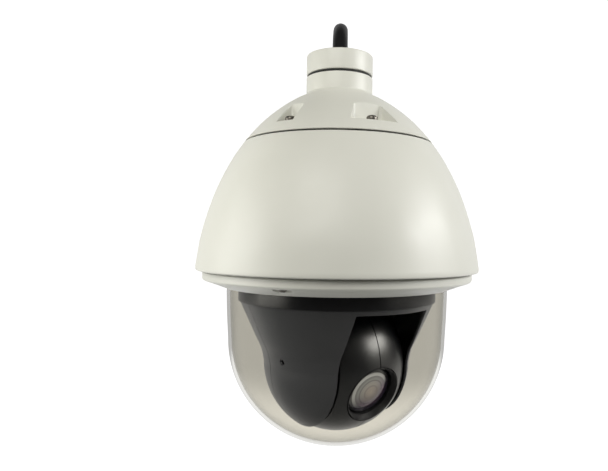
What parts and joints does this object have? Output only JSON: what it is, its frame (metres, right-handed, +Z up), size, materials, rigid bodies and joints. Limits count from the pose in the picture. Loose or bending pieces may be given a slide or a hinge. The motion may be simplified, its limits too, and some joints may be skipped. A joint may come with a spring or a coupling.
{
  "type": "pan tilt zoom dome camera",
  "caption": "Pendant outdoor PTZ dome camera with a threaded neck, sun shield, clear bubble, and a pan head that carries a tilting camera ball.",
  "frame": {"origin": "middle of the neck's top face, on the axis of the pendant thread", "axes": "+Z up along the neck and the pan axis, -Y towards the front that the picture shows, +X to that view's right"},
  "size_m": [0.22, 0.2398, 0.349],
  "materials": {
    "white_paint": "satin powder coat, off-white",
    "cast_alloy": "die cast, lightly blasted",
    "black_plastic": "moulded, soft satin gloss",
    "rubber": "matt",
    "steel": "machined",
    "dark_steel": "dark zinc plated",
    "circuit_board": "solder mask",
    "clear_plastic": "polished clear polycarbonate",
    "lens_glass": "coated optical glass",
    "brass": "nickel-free turned brass",
    "cable_jacket": "smooth extruded jacket"
  },
  "bodies": {
    "root": {"mount_collar": "white_paint", "collar_gasket": "rubber", "top_cap": "white_paint", "cap_screw_1": "dark_steel", "cap_screw_2": "dark_steel", "cap_screw_3": "dark_steel", "cap_screw_4": "dark_steel", "cap_seal": "rubber", "sun_shield": "white_paint", "inner_housing": "cast_alloy", "housing_gasket": "rubber", "dome_bezel": "white_paint", "bezel_screw_1": "dark_steel", "bezel_screw_2": "dark_steel", "bezel_screw_3": "dark_steel", "dome_bubble": "clear_plastic", "dome_seal": "rubber", "gland_body": "brass", "gland_nut": "brass", "strain_relief": "rubber", "cable": "cable_jacket", "connector_body": "black_plastic", "connector_ring": "steel", "power_board": "circuit_board", "main_board": "circuit_board", "fan_frame": "black_plastic", "chassis_plate": "cast_alloy", "pan_bearing_outer": "steel", "pan_motor": "dark_steel", "pan_belt": "rubber", "slip_ring_stator": "black_plastic"},
    "fan": {"fan_rotor": "black_plastic"},
    "pan_drive": {"pan_motor_pulley": "steel"},
    "pan_head": {"slip_ring_rotor": "brass", "pan_bearing_inner": "steel", "pan_hub": "steel", "pan_pulley": "black_plastic", "turntable": "black_plastic", "yoke_frame": "black_plastic", "yoke_cover_front": "black_plastic", "yoke_cover_rear": "black_plastic", "cover_screw_left": "dark_steel", "cover_screw_right": "dark_steel", "tilt_bush_left": "brass", "tilt_bush_right": "brass", "tilt_motor": "dark_steel", "tilt_belt": "rubber"},
    "tilt_drive": {"tilt_motor_pulley": "steel"},
    "camera_ball": {"tilt_shaft": "steel", "tilt_pulley": "steel", "ball_shell_left": "black_plastic", "ball_shell_right": "black_plastic", "lens_ring": "black_plastic", "lens_barrel": "black_plastic", "front_lens": "lens_glass", "sensor_board": "circuit_board", "camera_block": "dark_steel"},
    "zoom_carriage": {"zoom_group": "lens_glass"},
    "focus_carriage": {"focus_group": "lens_glass"},
    "ir_filter": {"ir_cut_filter": "lens_glass"}
  },
  "joints": [
    {"name": "pan", "type": "hinge", "parent": "root", "child": "pan_head", "pos_m": [0, 0, -0.1545], "axis": [0, 0, 1], "continuous": true},
    {"name": "tilt", "type": "hinge", "parent": "pan_head", "child": "camera_ball", "pos_m": [0, 0, -0.24], "axis": [0.7986, 0.6018, 0], "range_deg": [-22, 68]},
    {"name": "pan_motor_spin", "type": "hinge", "parent": "root", "child": "pan_drive", "pos_m": [0.04443, 0.03728, -0.162], "axis": [0, 0, 1], "continuous": true},
    {"name": "tilt_motor_spin", "type": "hinge", "parent": "pan_head", "child": "tilt_drive", "pos_m": [0.01085, 0.06452, -0.19], "axis": [0.7986, 0.6018, 0], "range_deg": [-44, 136]},
    {"name": "fan_spin", "type": "hinge", "parent": "root", "child": "fan", "pos_m": [-0.0459, 0.0265, -0.144], "axis": [0, 0, 1], "continuous": true},
    {"name": "zoom_travel", "type": "slide", "parent": "camera_ball", "child": "zoom_carriage", "axis": [0.558, -0.7405, -0.3746], "range_m": [-0.008, 0.008]},
    {"name": "focus_travel", "type": "slide", "parent": "camera_ball", "child": "focus_carriage", "axis": [0.558, -0.7405, -0.3746], "range_m": [-0.003, 0.003]},
    {"name": "ir_filter_shift", "type": "slide", "parent": "camera_ball", "child": "ir_filter", "axis": [0.7986, 0.6018, 0], "range_m": [0, 0.009]}
  ],
  "couplings": [
    {"joint": "pan_motor_spin", "follows": "pan", "ratio": 6},
    {"joint": "tilt_motor_spin", "follows": "tilt", "ratio": 2}
  ]
}
